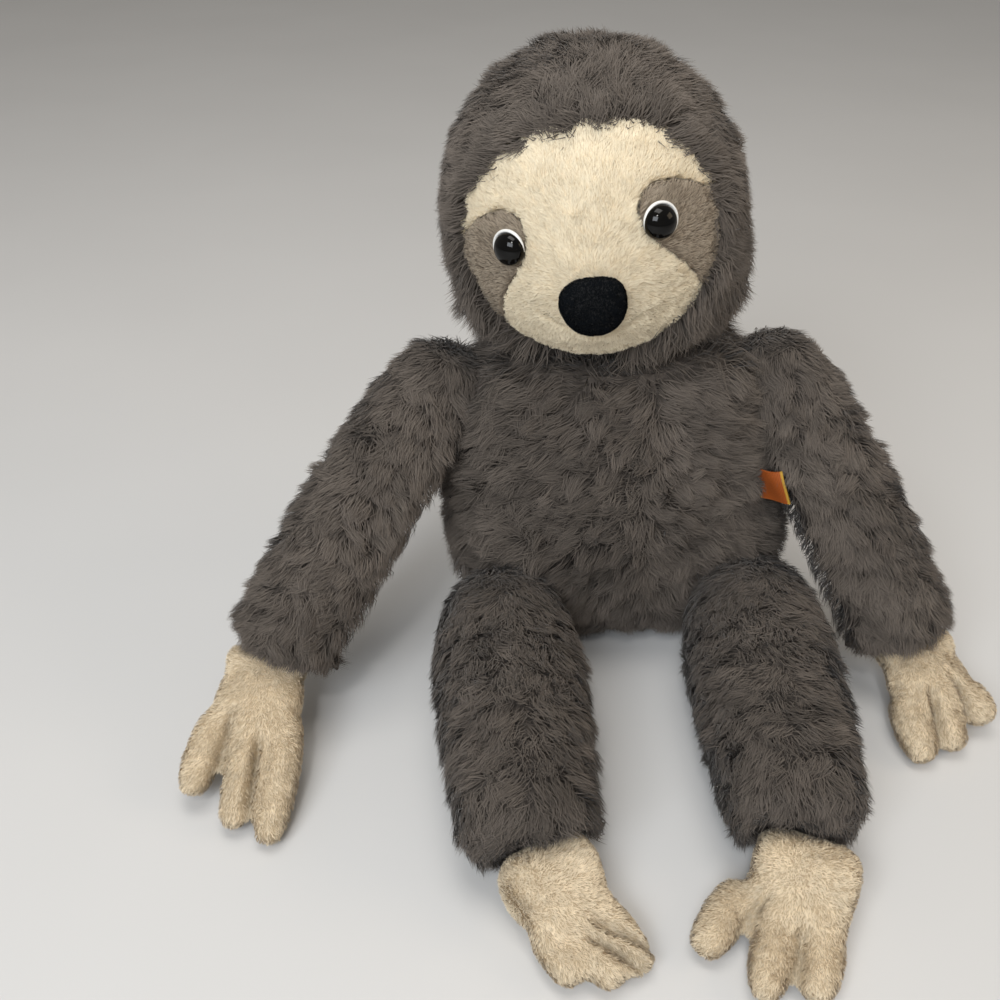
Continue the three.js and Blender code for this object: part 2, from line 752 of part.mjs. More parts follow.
function buildHand(side, name, frame) {
  const group = groupAt(frame, sloth);
  const floor = movedBy(table, inverse(frame));
  const root = barrel(wrist_radius, wrist_half_width);
  const sizes = [palm_length, wrist_half_width, palm_half_width, wrist_radius, palm_half_thick];
  const asides = [side * finger_pitch, 0, -side * finger_pitch];
  const splays = finger_splays_deg.map((splay) => side * splay);
  const fingers = digits(asides, hands[name].reaches, splays, finger_radius,
    finger_squash_share, palm_length / 2);
  const palm = (inset, sides) => pouch(...sizes, inset, sides, digit_rings);
  const outer = palm(0, round_sides).add(root).add(fingers).subtract(floor);
  const mouth = movedBy(
    rod(wrist_radius * opening_share, -palm_length / 2, wrist_radius + cut_overrun),
    frameAt(0, 0, 0, new THREE.Euler(-PI / 2, 0, 0)));
  const room = palm(pile_wall, digit_sides);
  addPiece(`hand_${name}`, outer.subtract(room).subtract(mouth), "pile", group);
  addPiece(`hand_stuffing_${name}`, palm(pile_wall + seam_gap, digit_sides), "fill", group);
}

function footFrame(name, leg) {
  const end = new THREE.Vector3(0, 0, -leg_length - ankle_out).applyMatrix4(leg);
  const turn = rad(feet[name].turn_deg);
  return frameAt(end.x, end.y, ankle_radius - flat_cut, new THREE.Euler(0, 0, turn, "ZYX"));
}

function buildLeg(side, name) {
  const frame = hipFrame(side);
  const group = groupAt(frame, sloth);
  const sizes = {
    root: leg_root_radius, cuff: leg_cuff_radius, belly: leg_belly, length: leg_length,
    tip: leg_tip_round,
  };
  const foot = footFrame(name, frame);
  const { sole_aside, sole_half_width } = feet[name];
  const slot = movedBy(
    sweptSlot(ankle_radius + turning_gap, sole_half_width + ankle_side_play, ankle_up_deg,
      ankle_down_deg, 2 * sole_length),
    chained(inverse(frame), foot, frameAt(sole_aside, 0, 0)));
  const outer = limbForm(sizes, 0, limb_sides, 0).subtract(slot)
    .subtract(movedBy(table, inverse(frame)));
  const opening = rod(leg_root_radius * opening_share, 0, 2 * leg_root_radius);
  const inner = { ...sizes, length: leg_length - ankle_radius };
  const room = limbForm(inner, fur_wall, limb_fill_sides, 0);
  addPiece(`leg_sleeve_${name}`, outer.subtract(room).subtract(opening), "fur", group);
  const fill = limbForm(inner, fur_wall + seam_gap, limb_fill_sides, 0);
  addPiece(`leg_stuffing_${name}`, fill, "fill", group);
  buildFoot(name, foot);
}

function buildFoot(name, frame) {
  const group = groupAt(frame, sloth);
  const floor = movedBy(table, inverse(frame));
  const { sole_aside, sole_half_width, toe_asides, reaches, splays_deg } = feet[name];
  const placed = frameAt(sole_aside, 0, 0);
  const root = movedBy(barrel(ankle_radius, sole_half_width), placed);
  const sizes = [sole_length, sole_half_width, sole_half_width, ankle_radius, toe_radius];
  const toes = digits(toe_asides, reaches, splays_deg, toe_radius, toe_squash_share,
    sole_length * toe_root_share)
    .translate([0, 0, toe_radius * toe_squash_share - ankle_radius]);
  const sole = (inset, sides) => movedBy(pouch(...sizes, inset, sides, digit_rings), placed);
  const outer = sole(0, round_sides).add(root).add(toes).subtract(floor);
  const mouth = movedBy(
    rod(ankle_radius * opening_share, -sole_length / 2, ankle_radius + cut_overrun),
    chained(placed, frameAt(0, 0, 0, new THREE.Euler(-PI / 2, 0, 0))));
  const room = sole(pile_wall, digit_sides);
  addPiece(`foot_${name}`, outer.subtract(room).subtract(mouth), "pile", group);
  addPiece(`foot_stuffing_${name}`, sole(pile_wall + seam_gap, digit_sides), "fill", group);
}

const neck = leaningAt(0, -head_forward, torso_height);
buildTorso(neck);
buildHead(neck);
buildArm(-1, "right");
buildArm(1, "left");
buildLeg(-1, "right");
buildLeg(1, "left");

export default sloth;
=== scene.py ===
# %% [markdown]
# A seated plush sloth. The real toy is sewn out of long-pile fur and short-pile
# cloth, then stuffed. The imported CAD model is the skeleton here: it says where each
# sewn piece sits and how it moves, and this lesson dresses it in padded skins and
# in fur that is real geometry, strand by strand.

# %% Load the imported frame
import json
import math
import bpy
import numpy as np
from mathutils import Matrix, Vector
from mathutils.bvhtree import BVHTree
from mathutils.kdtree import KDTree


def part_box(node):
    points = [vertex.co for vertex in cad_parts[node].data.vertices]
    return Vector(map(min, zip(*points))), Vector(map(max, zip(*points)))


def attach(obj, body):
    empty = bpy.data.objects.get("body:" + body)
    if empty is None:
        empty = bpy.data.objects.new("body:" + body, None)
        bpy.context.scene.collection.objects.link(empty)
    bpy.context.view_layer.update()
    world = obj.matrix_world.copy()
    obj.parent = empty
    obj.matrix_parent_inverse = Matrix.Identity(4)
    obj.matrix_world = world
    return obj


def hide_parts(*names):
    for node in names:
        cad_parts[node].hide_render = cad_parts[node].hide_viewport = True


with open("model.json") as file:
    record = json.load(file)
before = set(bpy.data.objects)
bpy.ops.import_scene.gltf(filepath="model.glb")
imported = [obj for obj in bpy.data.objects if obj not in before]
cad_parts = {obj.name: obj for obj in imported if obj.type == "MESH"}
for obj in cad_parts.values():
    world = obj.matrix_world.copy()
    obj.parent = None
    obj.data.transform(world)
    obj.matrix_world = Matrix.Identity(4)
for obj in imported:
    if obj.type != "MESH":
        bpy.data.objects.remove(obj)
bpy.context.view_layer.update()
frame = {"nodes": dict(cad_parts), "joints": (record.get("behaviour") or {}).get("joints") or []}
scene = bpy.context.scene

# %% [markdown]
# The camera looks at the toy from above and a little from its own right side, as the
# photograph does. Its place was worked out from the eyes, the nose, the wrists and
# the feet, so it is set as a point, a heading and a pitch.

# %% Camera
looks_down, turned_by = 36, -4
camera = bpy.data.objects.new("camera", bpy.data.cameras.new("camera"))
scene.collection.objects.link(camera)
camera.location = (-0.0886, -0.4087, 0.3580)
camera.rotation_euler = (math.radians(90 - looks_down), 0, math.radians(turned_by))
camera.data.lens, camera.data.sensor_width = 37.8, 36
scene.camera = camera
print("camera at", [round(v, 3) for v in camera.location])

# %% [markdown]
# The table is a plain pale floor. Wide soft lights stand in for the windows: a cool
# one in front on the toy's right and a weak warm one on its left, with a third above.
# A small lamp puts the sharp glints in the eyes, and a weak warm sky fills the rest.
# The Standard view keeps the cloth's own tones, as the photograph does.

# %% Floor and light
bpy.ops.mesh.primitive_plane_add(size=8, location=(0, 0, -0.0004))
floor = bpy.context.object
floor.name = "table_top"

aim = Vector((0, -0.05, 0.12))

def softbox(name, place, size, power, colour):
    light = bpy.data.objects.new(name, bpy.data.lights.new(name, "AREA"))
    scene.collection.objects.link(light)
    light.location = place
    light.rotation_euler = (aim - Vector(place)).to_track_quat("-Z", "Y").to_euler()
    light.data.shape, light.data.size, light.data.size_y = "RECTANGLE", size, size * 0.7
    light.data.energy, light.data.color = power, colour

softbox("cool_window", (-0.55, -1.05, 0.95), 0.8, 13, (0.90, 0.95, 1.0))
softbox("warm_window", (1.1, -0.3, 0.8), 0.7, 2.5, (1.0, 0.80, 0.56))
softbox("top_fill", (-0.1, -0.15, 1.5), 0.9, 8, (1.0, 0.97, 0.92))
softbox("lamp", (-0.25, -0.9, 1.3), 0.14, 3.0, (1.0, 0.98, 0.95))
sky = bpy.data.worlds.new("sky")
scene.world = sky
sky.use_nodes = True
even_light = sky.node_tree.nodes["Background"].inputs
even_light["Color"].default_value = (1.0, 0.96, 0.90, 1)
even_light["Strength"].default_value = 0.30
scene.view_settings.view_transform = "Standard"

# %% [markdown]
# Small helpers come first, each the code form of one gesture of the hand: pick one
# piece and nothing else, add a modifier and apply it, read or write the points of a
# mesh all at once.

# %% Picking, applying, reading points
def only(piece):
    bpy.ops.object.select_all(action="DESELECT")
    piece.select_set(True)
    bpy.context.view_layer.objects.active = piece
    return piece

def applied(piece, kind, **settings):
    modifier = only(piece).modifiers.new(kind.lower(), kind)
    for key, value in settings.items():
        setattr(modifier, key, value)
    bpy.ops.object.modifier_apply(modifier=modifier.name)
    return piece

def points_of(piece):
    flat = np.empty(len(piece.data.vertices) * 3)
    piece.data.vertices.foreach_get("co", flat)
    return flat.reshape(-1, 3)

def put_points(piece, points):
    piece.data.vertices.foreach_set("co", np.asarray(points, dtype=np.float32).ravel())
    piece.data.update()

def unit(vectors):
    size = np.linalg.norm(vectors, axis=-1, keepdims=True)
    return vectors / np.maximum(size, 1e-12)

print("helpers ready")

# %% [markdown]
# Every sewn pad starts from copies of its CAD nodes: the cover pieces and the filling
# are joined, welded and remeshed into one skin. A remesh closes the hairline gaps
# between the pattern pieces, and leaves small bubbles inside where cover and filling
# met, so the loose parts are taken apart and only the widest one is kept.

# %% One skin out of several nodes
weld = 0.00002

def joined_copy(name, nodes):
    bpy.ops.object.select_all(action="DESELECT")
    for node in nodes:
        double = bpy.data.objects.new(name, frame["nodes"][node].data.copy())
        scene.collection.objects.link(double)
        double.select_set(True)
        bpy.context.view_layer.objects.active = double
    if len(nodes) > 1:
        bpy.ops.object.join()
    piece = bpy.context.view_layer.objects.active
    bpy.ops.object.mode_set(mode="EDIT")
    bpy.ops.mesh.select_all(action="SELECT")
    bpy.ops.mesh.remove_doubles(threshold=weld)
    bpy.ops.object.mode_set(mode="OBJECT")
    piece.name = name
    piece.data.materials.clear()
    return piece

def widest_part(piece):
    name = piece.name
    only(piece)
    bpy.ops.object.mode_set(mode="EDIT")
    bpy.ops.mesh.select_all(action="SELECT")
    bpy.ops.mesh.separate(type="LOOSE")
    bpy.ops.object.mode_set(mode="OBJECT")
    parts = sorted(bpy.context.selected_objects, key=lambda o: sum(o.dimensions))
    for part in parts[:-1]:
        bpy.data.objects.remove(part, do_unlink=True)
    parts[-1].name = name
    return only(parts[-1])

def skin_of(name, nodes, voxel, inset, rounds):
    """The outer skin of some nodes, drawn in by inset and smoothed some rounds."""
    piece = joined_copy(name, nodes)
    applied(piece, "REMESH", mode="VOXEL", voxel_size=voxel)
    piece = widest_part(piece)
    applied(piece, "SMOOTH", factor=0.5, iterations=rounds)
    applied(piece, "DISPLACE", strength=-inset, mid_level=0)
    applied(piece, "SMOOTH", factor=0.5, iterations=rounds)
    for polygon in piece.data.polygons:
        polygon.use_smooth = True
    print(name, len(piece.data.polygons), "faces")
    return piece

# %% [markdown]
# A stuffed pad is cloth under pressure from inside. The skin is made a little too
# small, then Blender's cloth blows it up for twenty frames. The sewn lines are pinned,
# so that the cloth swells between them and leaves the valleys that a real seam
# leaves. No point may travel further than a set reach.

# %% Stuffing a skin
stuffing_frames = 20

def stuffed(piece, reach, sewn=None, pressure=4.0):
    start = points_of(piece)
    cloth = only(piece).modifiers.new("stuffing", "CLOTH")
    cloth.settings.use_pressure = True
    cloth.settings.uniform_pressure_force = pressure
    cloth.settings.effector_weights.gravity = 0
    cloth.point_cache.frame_end = stuffing_frames
    if sewn is not None:
        seam = piece.vertex_groups.new(name="seam")
        seam.add([int(i) for i in np.flatnonzero(sewn(start))], 1.0, "REPLACE")
        cloth.settings.vertex_group_mass = "seam"
    for moment in range(1, stuffing_frames + 1):
        scene.frame_set(moment)
    bpy.ops.object.modifier_apply(modifier="stuffing")
    scene.frame_set(1)
    travel = points_of(piece) - start
    far = np.linalg.norm(travel, axis=1, keepdims=True)
    put_points(piece, start + travel * np.minimum(1, reach / np.maximum(far, 1e-9)))
    applied(piece, "SMOOTH", factor=0.5, iterations=2)
    print(piece.name, "swelled by", round(float(far.max()) * 1000, 1), "mm before the cap")
    return piece

# %% [markdown]
# Shader maths reads best as plain sums. A Wire holds one socket of a node, and adding,
# taking away or multiplying makes the Math node that does it. A Finish is a material
# with its Principled shader, and one method that makes any other node.

# %% Wires and finishes
class Wire:
    def __init__(self, tree, socket):
        self.tree, self.socket = tree, socket

    def math(self, operation, *values):
        node = self.tree.nodes.new("ShaderNodeMath")
        node.operation = operation
        for slot, value in zip(node.inputs, values):
            if isinstance(value, Wire):
                self.tree.links.new(value.socket, slot)
            else:
                slot.default_value = value
        return Wire(self.tree, node.outputs[0])

    def alone(self, operation):
        return self.math(operation, self)

    def __add__(self, other):
        return self.math("ADD", self, other)

    def __radd__(self, other):
        return self.math("ADD", other, self)

    def __sub__(self, other):
        return self.math("SUBTRACT", self, other)

    def __rsub__(self, other):
        return self.math("SUBTRACT", other, self)

    def __mul__(self, other):
        return self.math("MULTIPLY", self, other)

    def __rmul__(self, other):
        return self.math("MULTIPLY", other, self)


class Finish:
    def __init__(self, name, **sockets):
        self.material = bpy.data.materials.new(name)
        self.material.use_nodes = True
        self.tree = self.material.node_tree
        self.shader = self.tree.nodes["Principled BSDF"]
        self.feed(self.shader, sockets)

    def feed(self, node, values):
        for key, value in values.items():
            slot = node.inputs[key.replace("_", " ") if isinstance(key, str) else key]
            if isinstance(value, Wire):
                self.tree.links.new(value.socket, slot)
            else:
                slot.default_value = value

    def node(self, kind, settings=None, out=0, **values):
        """A node of a kind: its settings first, then its sockets by name."""
        node = self.tree.nodes.new(kind)
        for key, value in (settings or {}).items():
            if key == "stops":
                ramp = node.color_ramp
                while len(ramp.elements) < len(value):
                    ramp.elements.new(0.5)
                for element, (place, colour) in zip(ramp.elements, value):
                    element.position, element.color = place, (*colour, 1)
            else:
                setattr(node, key, value)
        self.feed(node, values)
        return Wire(self.tree, node.outputs[out])

    def blend(self, share, first, second):
        node = self.node("ShaderNodeMix", {"data_type": "RGBA"}).socket.node
        self.feed(node, {0: share, 6: first, 7: second})
        return Wire(self.tree, node.outputs[2])

    def paint(self, **values):
        self.feed(self.shader, values)
        return self.material

    def object_place(self):
        return self.node("ShaderNodeTexCoord", out=3)

    def sheet_place(self):
        """The piece's own UV map, as two wires."""
        place = self.node("ShaderNodeUVMap", {"uv_map": "OFBake"})
        split = self.node("ShaderNodeSeparateXYZ", Vector=place).socket.node
        return [Wire(self.tree, split.outputs[i]) for i in (0, 1)]

    def ramp(self, level, stops):
        return self.node("ShaderNodeValToRGB", {"stops": stops}, Fac=level)

    def noise(self, scale, detail=3.0):
        return self.node("ShaderNodeTexNoise", Vector=self.object_place(),
                         Scale=scale, Detail=detail)

    def bump(self, height, distance, strength=0.6):
        return self.node("ShaderNodeBump", Height=height, Distance=distance,
                         Strength=strength)

print("finishes ready")

# %% [markdown]
# The fur and the pile are strands, so their colour runs along each strand: dark at
# the root, where the light doesn't reach, and pale at the tip. Every strand carries a
# UV map whose v is its own length and whose u is its shade, so one ramp and one
# factor paint the whole coat.

# %% Finishes of the strands
def strand_finish(name, roots_to_tips, spread, **sockets):
    finish = Finish(name, **sockets)
    shade, along = finish.sheet_place()
    tone = finish.ramp(along, roots_to_tips)
    level = 1 - spread + shade * (2 * spread)
    return finish.paint(Base_Color=finish.node(
        "ShaderNodeVectorMath", {"operation": "SCALE"}, Vector=tone, Scale=level))

pile_shine = dict(Roughness=0.6, Sheen_Weight=0.15, Sheen_Roughness=0.4,
                  Specular_IOR_Level=0.25)
fur_finish = strand_finish(
    "long_fur",
    [(0.0, (0.046, 0.038, 0.032)), (0.35, (0.088, 0.073, 0.061)),
     (0.75, (0.130, 0.109, 0.092)), (1.0, (0.175, 0.148, 0.126))],
    0.42, Roughness=0.8, Sheen_Weight=0.12, Sheen_Roughness=0.5, Specular_IOR_Level=0.2)
pile_finish = strand_finish(
    "cream_pile",
    [(0.0, (0.74, 0.62, 0.44)), (0.4, (0.82, 0.71, 0.52)),
     (0.8, (0.88, 0.78, 0.59)), (1.0, (0.91, 0.82, 0.64))],
    0.11, **pile_shine)
mitten_finish = strand_finish(
    "cream_pile_of_the_mittens",
    [(0.0, (0.56, 0.44, 0.29)), (0.4, (0.70, 0.58, 0.41)),
     (0.8, (0.80, 0.68, 0.50)), (1.0, (0.87, 0.76, 0.59))],
    0.30, **pile_shine)
patch_finish = strand_finish(
    "taupe_pile",
    [(0.0, (0.19, 0.145, 0.10)), (0.4, (0.31, 0.25, 0.185)),
     (0.8, (0.43, 0.36, 0.275)), (1.0, (0.54, 0.46, 0.365))],
    0.26, **pile_shine)
velvet_finish = strand_finish(
    "black_velvet_pile",
    [(0.0, (0.001, 0.001, 0.0015)), (0.5, (0.002, 0.003, 0.004)),
     (0.8, (0.003, 0.004, 0.006)), (1.0, (0.006, 0.008, 0.011))],
    0.3, Roughness=0.8, Specular_IOR_Level=0.08)
print("strand finishes ready")

# %% [markdown]
# Under the strands lies the cloth they are knitted into. It shows only in the partings
# and at the seams, so it is a knitted ground: a fine mottle of two tones, with the
# same mottle as a shallow bump. Under the long fur this ground is dark brown, partly its
# own colour and partly painted shade for the partings. The table is smooth and nearly one tone.

# %% Finishes of the cloth under the strands
def cloth_finish(name, dark, light, grain):
    finish = Finish(name)
    mottle = finish.noise(grain, 4.0)
    broad = finish.noise(grain * 0.06, 2.0)
    tone = finish.ramp(mottle * 0.65 + broad * 0.35, [(0.3, dark), (0.7, light)])
    return finish.paint(Base_Color=tone, Roughness=0.78 + mottle * 0.18,
                        Normal=finish.bump(mottle, 0.0006))

# The long fur's backing: a dark brown knit, darkened partly as painted shade for the partings
# between the strands.
fur_backing_with_painted_shade = cloth_finish("fur_backing", (0.05, 0.04, 0.033), (0.11, 0.09, 0.075), 900)
pile_cloth = cloth_finish("cream_backing", (0.70, 0.57, 0.39), (0.84, 0.73, 0.53), 1200)
mitten_cloth = cloth_finish("mitten_backing", (0.36, 0.27, 0.17), (0.58, 0.47, 0.32), 1200)
patch_cloth = cloth_finish("taupe_backing", (0.13, 0.10, 0.07), (0.24, 0.19, 0.14), 1200)
nose_cloth = cloth_finish("black_backing", (0.0012, 0.0012, 0.0016),
                          (0.003, 0.004, 0.005), 1600)
table_finish = Finish("pale_table", Roughness=0.6)
floor.data.materials.append(table_finish.paint(Base_Color=table_finish.ramp(
    table_finish.noise(6, 2.0),
    [(0.3, (0.612, 0.607, 0.602)), (0.7, (0.628, 0.623, 0.618))])))
print("cloth finishes ready")

# %% [markdown]
# The torso, the head, the arms and the legs are the big pads. Their skins lie one fur
# length inside the CAD covers, which are drawn to the outside of the fur. The torso
# is sewn down its middle and along its flanks, so those lines are pinned while it is
# stuffed.

# %% Skins of the torso, the head and the limbs
fur_depth = 0.0068
inset = fur_depth + 0.001
seam_width = 0.003
sides = {"right": -1, "left": 1}
joint_at = {j["name"]: Vector(j["pos_m"]) for j in frame["joints"]}
joint_axis = {j["name"]: Vector(j["axis"]) for j in frame["joints"]}
torso_nodes = ["torso_front_left", "torso_front_right", "torso_back", "torso_stuffing"]
head_nodes = ["hood_left", "hood_right", "face_panel", "eye_patch_left",
              "eye_patch_right", "head_stuffing"]
front_seam_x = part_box("torso_front_right")[1].x
flank_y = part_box("torso_back")[0].y

def torso_seams(p):
    middle_seam = (abs(p[:, 0] - front_seam_x) < seam_width) & (p[:, 1] < flank_y)
    flank_seam = abs(p[:, 1] - flank_y) < seam_width
    return middle_seam | flank_seam

skins = {"torso": skin_of("torso_skin", torso_nodes, voxel=0.004, inset=inset, rounds=4)}
stuffed(skins["torso"], reach=0.0015, sewn=torso_seams)
skins["head"] = skin_of("hood_skin", head_nodes, voxel=0.004, inset=inset, rounds=4)
stuffed(skins["head"], reach=0.001)
for side in sides:
    for limb in ("arm", "leg"):
        nodes = [f"{limb}_sleeve_{side}", f"{limb}_stuffing_{side}"]
        skin = skin_of(f"{limb}_skin_{side}", nodes, voxel=0.0035, inset=inset, rounds=3)
        skins[f"{limb}_{side}"] = stuffed(skin, reach=0.0012)

# %% [markdown]
# Where an arm is sewn to the torso, cloth meets cloth. Both skins were drawn in by the
# depth of the fur, which would leave a slot there, so both are drawn back out to the
# seam: the root of the arm and the flank of the torso, along the shoulder's own axis.

# %% Closing the shoulders
shoulder_stretch = 0.0064

def smooth(share):
    share = np.clip(share, 0, 1)
    return share * share * (3 - 2 * share)

def shoulder_place(p, side):
    """How far points are inward of a shoulder along its axis, and how far from the axis."""
    axis = np.array(joint_axis[f"shoulder_{side}"])
    inward = axis if axis[0] * sides[side] < 0 else -axis
    offset = p - np.array(joint_at[f"shoulder_{side}"])
    deep = offset @ inward
    return deep, np.linalg.norm(offset - np.outer(deep, inward), axis=1), inward

for side in sides:
    p = points_of(skins[f"arm_{side}"])
    deep, _, inward = shoulder_place(p, side)
    reach = smooth((deep + 0.014) / 0.022)
    put_points(skins[f"arm_{side}"], p + np.outer(reach, inward) * shoulder_stretch)
    p = points_of(skins["torso"])
    deep, wide, inward = shoulder_place(p, side)
    reach = smooth((0.056 - deep) / 0.026) * smooth((0.050 - wide) / 0.020)
    put_points(skins["torso"], p - np.outer(reach, inward) * shoulder_stretch)
print("shoulders closed")

# %% [markdown]
# The legs are sewn on at the hips in the same way, but their roots face backwards, so
# here both skins are drawn out along the leg.

# %% Closing the hips
leg_stretch, torso_stretch = 0.0062, 0.0056
hip_roots = {}
for side in sides:
    pivot = np.array(joint_at[f"hip_{side}"])
    away = unit(np.array(joint_at[f"ankle_{side}"]) - pivot)
    p = points_of(skins[f"leg_{side}"])
    along = (p - pivot) @ away
    share = smooth((along.min() + 0.024 - along) / 0.020)
    put_points(skins[f"leg_{side}"], p - np.outer(share, away) * leg_stretch)
    root = hip_roots[side] = pivot + away * along.min()
    p = points_of(skins["torso"])
    share = smooth((0.046 - np.linalg.norm(p - root, axis=1)) / 0.022)
    put_points(skins["torso"], p + np.outer(share, away) * torso_stretch)
    print(side, "hip root lies", round(along.min() * 1000, 1), "mm from the joint")

# %% [markdown]
# The hands and feet are short-pile mittens, each turned out like a glove and stuffed.
# They are finer than the big pads, so their skins are too, and nothing is pinned.

# %% Skins of the hands and the feet
for side in sides:
    for end in ("hand", "foot"):
        nodes = [f"{end}_{side}", f"{end}_stuffing_{side}"]
        skin = skin_of(f"{end}_skin_{side}", nodes, voxel=0.0016, inset=0.0012, rounds=3)
        stuffed(skin, reach=0.0012)
        skins[f"{end}_{side}"] = applied(skin, "SUBSURF", levels=1, render_levels=1)

# %% [markdown]
# Each mitten is stitched through between its fingers. The notches in its outline show
# where the stitching starts, and from each notch a groove runs back towards the palm,
# pressed in from both faces.

# %% Stitching the fingers and the toes
groove_deep = 0.0042
groove_wide = {"hand": 0.0019, "foot": 0.0022}

def lie_of(p, root, forward=-0.55):
    """A mitten's own frame: along it from the root, across it, and through it.

    One that points well forward lies flat on the table, so its frame is level."""
    offset = p - np.array(root)
    along = unit(offset.mean(0))
    if along[1] < forward:
        across = unit(np.cross(along, [0, 0, 1.0]))
        return along, across, np.cross(across, along)
    rest = offset - np.outer(offset @ along, along)
    vectors = np.linalg.eigh(np.cov(rest.T))[1]
    return along, vectors[:, 2], vectors[:, 1]

def notches(u, v, step=0.0015, least=0.0003, apart=0.006):
    """Places across the mitten where its outline turns back between two fingers."""
    edges = np.arange(u.min(), u.max(), step)
    reach = np.array([v[np.abs(u - e) < step].max(initial=0) for e in edges])
    found = []
    for i in range(2, len(edges) - 2):
        before, after = reach[:i].max(), reach[i + 1:].max()
        if reach[i] == reach[i - 2:i + 3].min() and reach[i] < min(before, after) - least:
            if not found or edges[i] - found[-1][0] > apart:
                found.append((edges[i], reach[i]))
    return found

def groove_share(p, plan, starts=0.40, fades=0.22, beyond=0.02):
    """How deep in a groove points lie, 0 to 1.

    A groove starts at a share of its notch's reach, and draws closer to the others there."""
    root, (along, across, _), lines, wide = plan
    offset = p - np.array(root)
    u, v = offset @ across, offset @ along
    share = np.zeros(len(p))
    for start, top in lines:
        back = top * starts
        line = start * (0.72 + 0.28 * np.clip((v - back) / (top - back), 0, 1))
        held = smooth((v - back) / (top * fades)) * (v < top + beyond)
        share = np.maximum(share, held * np.exp(-((u - line) / wide) ** 2))
    return share

mittens = {}
for side in sides:
    for end, start in (("hand", "wrist"), ("foot", "ankle")):
        skin = skins[f"{end}_{side}"]
        p = points_of(skin)
        root = joint_at[f"{start}_{side}"]
        lie = lie_of(p, root)
        offset = p - np.array(root)
        u, v = offset @ lie[1], offset @ lie[0]
        lines = notches(u, v)
        if len(lines) < 2:  # toes held together: the stitching parts their width in three
            tips = u[v > 0.8 * v.max()]
            lines = [(tips.min() + np.ptp(tips) * share, v.max() * 0.98)
                     for share in (0.34, 0.67)]
        plan = mittens[f"{end}_{side}"] = (root, lie, lines, groove_wide[end])
        depth = offset @ lie[2]
        depth = depth - np.median(depth)
        press = groove_share(p, plan) * np.minimum(groove_deep, np.abs(depth) * 0.75)
        put_points(skin, p - np.outer(press * np.sign(depth), lie[2]))
        print(end, side, "grooves at", [(round(a * 1000), round(b * 1000)) for a, b in lines])

# %% [markdown]
# The face is one panel of cream cloth with a taupe patch let in round each eye. Each
# keeps the outline of its CAD node. The cloth is drawn in a little under the nose,
# where the real muzzle is gathered into a faint smile.

# %% Skins of the face, the eye patches and the nose
def middle_of(node):
    low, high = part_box(node)
    return (low + high) / 2

head_middle = middle_of("head_stuffing")
nose_middle = middle_of("nose_pad")
face_out = (nose_middle - head_middle).normalized()
face_skin = skin_of("face_skin", ["face_panel"], voxel=0.0014, inset=0.0004, rounds=2)
patch_skins = {side: skin_of(f"eye_patch_skin_{side}", [f"eye_patch_{side}"],
                             voxel=0.0010, inset=0.0002, rounds=2) for side in sides}
nose_skin = skin_of("nose_skin", ["nose_pad"], voxel=0.0010, inset=0.0003, rounds=3)
applied(nose_skin, "SUBSURF", levels=1, render_levels=1)

def smiled(piece, low=0.0165, width=0.021, deep=0.0016, thick=0.0018):
    """A shallow crease on an arc under the nose."""
    across = Vector((0, 0, 1)).cross(face_out).normalized()
    upward = face_out.cross(across)
    offset = points_of(piece) - np.array(nose_middle)
    x, z = offset @ np.array(across), offset @ np.array(upward)
    out = offset @ np.array(face_out)
    arc = -low + 0.35 * x ** 2 / width
    near = np.exp(-((z - arc) / thick) ** 2) * (np.abs(x) < width * 1.3) * (out > -0.03)
    fade = np.clip(1 - (np.abs(x) / width) ** 4, 0, 1)
    put_points(piece, points_of(piece) - np.outer(near * fade, np.array(face_out)) * deep)

smiled(face_skin)
print("face panel faces:", len(face_skin.data.polygons))

# %% [markdown]
# A safety eye is a turned part: a dome on a stem, pressed through a white washer. Its
# profile is drawn once as a line of points and spun round the eye's axis, so the rim
# is round and the dome has no facets. The axis is read from the CAD ring.

# %% Turning a profile round an axis
def axis_of(node, outward_from):
    """Middle, outward axis and radius of a flat round node."""
    p = np.array([v.co for v in frame["nodes"][node].data.vertices])
    middle = p.mean(0)
    axis = Vector(np.linalg.eigh(np.cov((p - middle).T))[1][:, 0])
    if axis.dot(Vector(middle) - outward_from) < 0:
        axis = -axis
    radius = float(np.linalg.norm(p - middle, axis=1).max())
    return Vector(middle), axis.normalized(), radius

def turned(name, profile, middle, axis, steps=48):
    """A closed turned piece: profile is (radius, height) pairs from axis to axis."""
    mesh = bpy.data.meshes.new(name)
    mesh.from_pydata([(r, 0, h) for r, h in profile],
                     [(i, i + 1) for i in range(len(profile) - 1)], [])
    piece = bpy.data.objects.new(name, mesh)
    scene.collection.objects.link(piece)
    only(piece)
    bpy.ops.object.mode_set(mode="EDIT")
    bpy.ops.mesh.select_all(action="SELECT")
    bpy.ops.mesh.spin(steps=steps, angle=math.tau, center=(0, 0, 0), axis=(0, 0, 1))
    bpy.ops.mesh.select_all(action="SELECT")
    bpy.ops.mesh.remove_doubles(threshold=weld)
    bpy.ops.mesh.normals_make_consistent(inside=False)
    bpy.ops.object.mode_set(mode="OBJECT")
    turn = axis.to_track_quat("Z", "Y").to_matrix().to_4x4()
    piece.data.transform(Matrix.Translation(middle) @ turn)
    bpy.ops.object.shade_smooth_by_angle(angle=math.radians(40))
    return piece

# %% [markdown]
# The dome covers its ring but for a thin crescent on the outer side, because it sits a
# little towards the nose.

